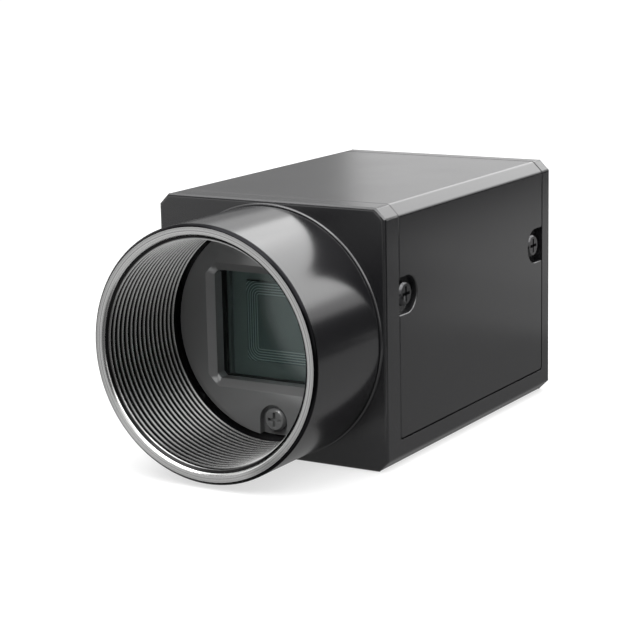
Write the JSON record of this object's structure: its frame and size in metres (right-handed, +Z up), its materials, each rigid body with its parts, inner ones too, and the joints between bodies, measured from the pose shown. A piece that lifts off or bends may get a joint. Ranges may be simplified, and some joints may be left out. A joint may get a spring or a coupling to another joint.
{
  "type": "machine vision camera",
  "caption": "Compact cube-bodied industrial camera with a threaded lens ring in front, and a network socket and a round power connector at the back.",
  "frame": {"origin": "centre of the housing's underside, halfway between its front and rear faces", "axes": "+Z up, out of the cover's roof; -Y along the optical axis, out of the lens ring; +X to the right as seen from the front with the lens facing the viewer"},
  "size_m": [0.029, 0.0572, 0.029],
  "materials": {
    "black_anodised": "satin black anodised aluminium",
    "bare_rim": "bare turned aluminium",
    "black_screw": "black zinc plated steel",
    "bright_steel": "plain steel",
    "filter_glass": "coated infrared-cut glass",
    "clear_glass": "clear cover glass",
    "black_rubber": "matt moulded rubber",
    "package_ceramic": "matt dark ceramic",
    "silicon": "polished sensor surface",
    "circuit_board": "green solder mask",
    "chip_epoxy": "matt moulded epoxy",
    "crystal_can": "plain metal can",
    "capacitor_body": "matt ceramic chip",
    "thermal_silicone": "soft matt silicone",
    "connector_plastic": "matt black moulded plastic",
    "gold_contact": "gold plated",
    "nickel_shell": "satin nickel plate",
    "light_pipe": "translucent moulded plastic"
  },
  "bodies": {
    "root": {"chassis": "black_anodised", "top_cover": "black_anodised", "cover_screws": "black_screw", "lens_mount": "black_anodised", "filter_holder": "black_anodised", "filter_holder_screws": "black_screw", "filter_glass": "filter_glass", "dust_gasket": "black_rubber", "sensor_window": "clear_glass", "sensor_package": "package_ceramic", "sensor_die": "silicon", "sensor_board": "circuit_board", "voltage_regulators": "chip_epoxy", "board_standoffs": "bright_steel", "stack_socket": "connector_plastic", "stack_plug": "connector_plastic", "main_board": "circuit_board", "main_board_screws": "bright_steel", "processor": "chip_epoxy", "thermal_pad": "thermal_silicone", "memory_chips": "chip_epoxy", "clock_crystal": "crystal_can", "main_capacitors": "capacitor_body", "header_base": "connector_plastic", "header_pins": "gold_contact", "header_socket": "connector_plastic", "interface_board": "circuit_board", "interface_board_screws": "bright_steel", "network_transformer": "chip_epoxy", "power_inductor": "chip_epoxy", "status_led": "light_pipe", "socket_shell": "nickel_shell", "socket_insert": "connector_plastic", "socket_contacts": "gold_contact", "io_shell": "nickel_shell", "io_nut": "nickel_shell", "io_insulator": "connector_plastic", "io_pins": "gold_contact", "light_pipe": "light_pipe"}
  },
  "joints": []
}
